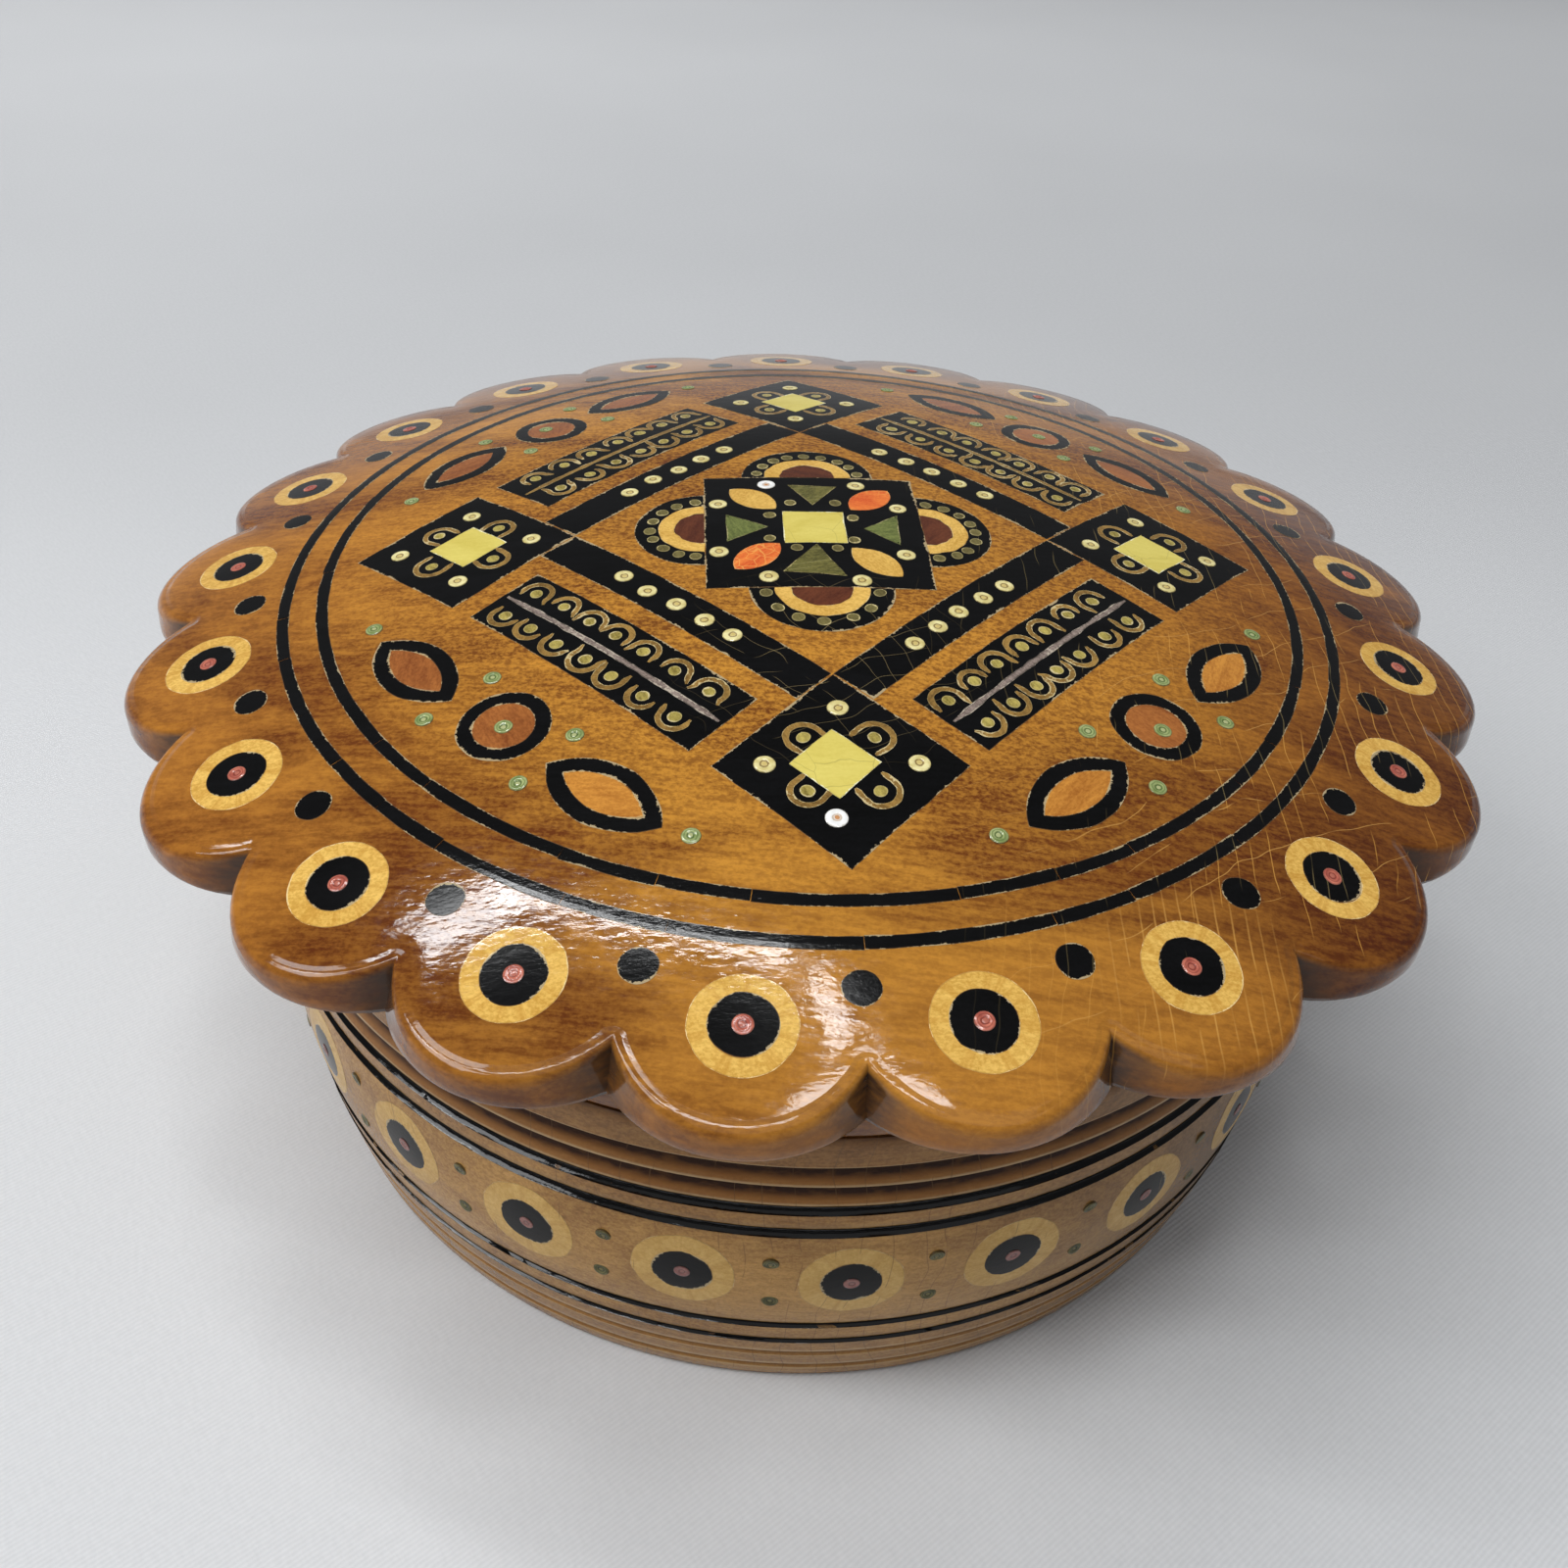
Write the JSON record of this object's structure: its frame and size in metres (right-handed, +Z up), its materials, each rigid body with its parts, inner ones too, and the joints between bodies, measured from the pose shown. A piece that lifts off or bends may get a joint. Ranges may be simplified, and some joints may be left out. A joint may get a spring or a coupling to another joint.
{
  "type": "inlaid lidded box",
  "caption": "Round turned wooden box with a low domed, scalloped lid, inlaid with black and yellow wood in a diamond, almond and bullseye pattern.",
  "frame": {"origin": "middle of the foot's underside", "axes": "+Z up along the turning axis, -Y towards the viewer, with a cusp of the lid's scalloped edge on -Y"},
  "size_m": [0.1596, 0.1591, 0.0752],
  "materials": {
    "base_wood": "satin varnish",
    "lid_wood": "gloss varnish with a fine golden craze",
    "black_wood": "stained black, gloss varnish",
    "yellow_wood": "gloss varnish",
    "lemon_wood": "gloss varnish, fine cracks",
    "olive_wood": "stained, gloss varnish",
    "orange_wood": "stained, gloss varnish",
    "brown_wood": "stained, gloss varnish",
    "cream_bead": "opaque glass, gloss",
    "green_bead": "translucent glass, gloss",
    "red_bead": "opaque glass, gloss"
  },
  "bodies": {
    "base": {"base": "base_wood"},
    "lid": {"lid": "lid_wood", "inner_line": "black_wood", "outer_line": "black_wood", "middle_square": "black_wood", "half_roundel_1": "black_wood", "half_roundel_2": "black_wood", "half_roundel_3": "black_wood", "half_roundel_4": "black_wood", "frame_bar_1": "black_wood", "frame_bar_2": "black_wood", "frame_bar_3": "black_wood", "frame_bar_4": "black_wood", "corner_square_1": "black_wood", "corner_square_2": "black_wood", "corner_square_3": "black_wood", "corner_square_4": "black_wood", "loop_panel_1": "black_wood", "loop_panel_2": "black_wood", "loop_panel_3": "black_wood", "loop_panel_4": "black_wood", "field_ring_1": "black_wood", "field_ring_2": "black_wood", "field_ring_3": "black_wood", "field_ring_4": "black_wood", "almond_left_1": "black_wood", "almond_left_2": "black_wood", "almond_left_3": "black_wood", "almond_left_4": "black_wood", "almond_right_1": "black_wood", "almond_right_2": "black_wood", "almond_right_3": "black_wood", "almond_right_4": "black_wood", "middle_tile": "lemon_wood", "corner_tile_1": "lemon_wood", "corner_tile_2": "lemon_wood", "corner_tile_3": "lemon_wood", "corner_tile_4": "lemon_wood", "rim_roundel_01": "yellow_wood", "rim_roundel_02": "yellow_wood", "rim_roundel_03": "yellow_wood", "rim_roundel_04": "yellow_wood", "rim_roundel_05": "yellow_wood", "rim_roundel_06": "yellow_wood", "rim_roundel_07": "yellow_wood", "rim_roundel_08": "yellow_wood", "rim_roundel_09": "yellow_wood", "rim_roundel_10": "yellow_wood", "rim_roundel_11": "yellow_wood", "rim_roundel_12": "yellow_wood", "rim_roundel_13": "yellow_wood", "rim_roundel_14": "yellow_wood", "rim_roundel_15": "yellow_wood", "rim_roundel_16": "yellow_wood", "rim_roundel_17": "yellow_wood", "rim_roundel_18": "yellow_wood", "rim_roundel_19": "yellow_wood", "rim_roundel_20": "yellow_wood", "rim_roundel_21": "yellow_wood"}
  },
  "joints": [
    {"name": "lid_lift", "type": "slide", "parent": "base", "child": "lid", "axis": [0, 0, 1], "range_m": [0, 0.07]}
  ]
}
